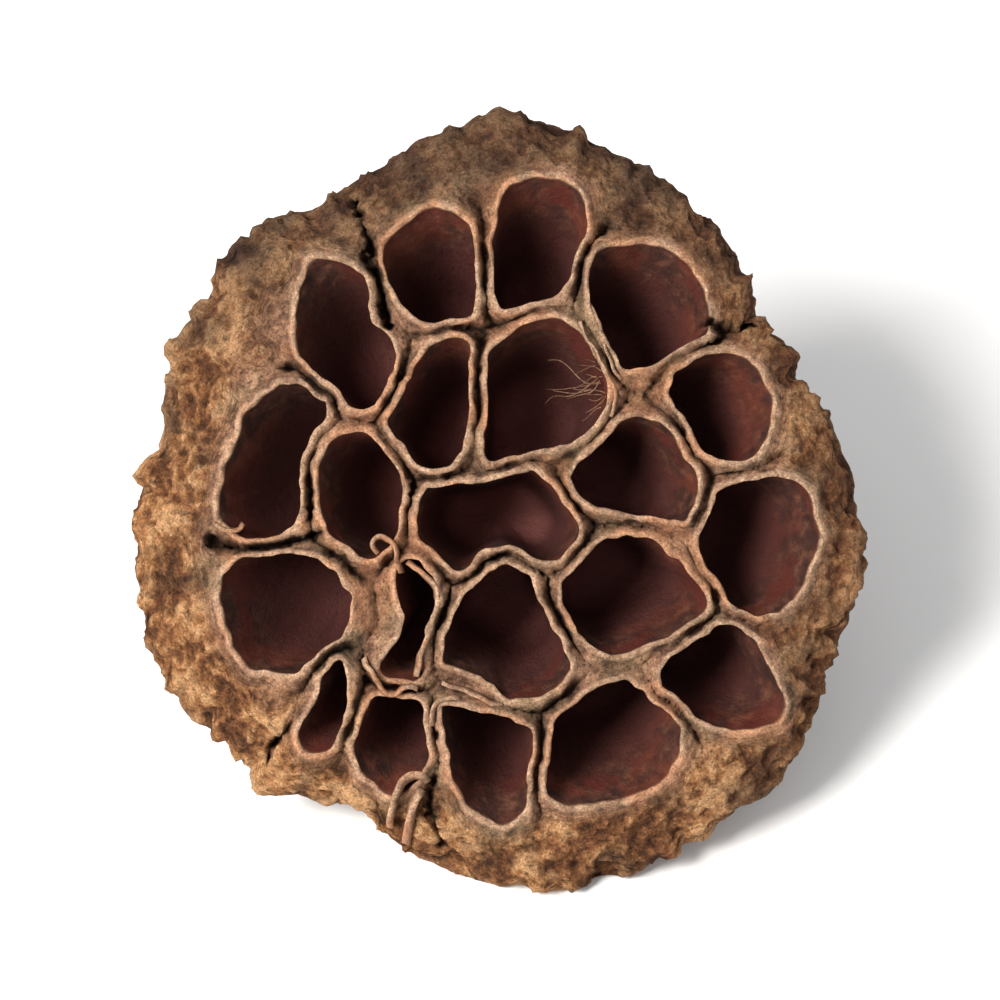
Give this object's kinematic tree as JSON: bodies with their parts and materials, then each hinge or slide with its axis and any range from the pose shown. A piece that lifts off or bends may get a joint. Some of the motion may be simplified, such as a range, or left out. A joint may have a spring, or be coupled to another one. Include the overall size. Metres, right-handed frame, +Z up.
{
  "type": "dried lotus pod",
  "caption": "Dried lotus seed pod: a shallow woody cone with a ragged edge and a domed face of open, empty seed cells, lying on its flank.",
  "frame": {"origin": "middle of the footprint, on the surface that the pod lies on", "axes": "+Z up; the face of seed cells looks towards -Y and up, 51 degrees above the surface, and the stem scar is at the back; +X to the right of the face"},
  "size_m": [0.0762, 0.0646, 0.052],
  "materials": {
    "husk": "matte"
  },
  "bodies": {
    "root": {"pod": "husk"}
  },
  "joints": []
}
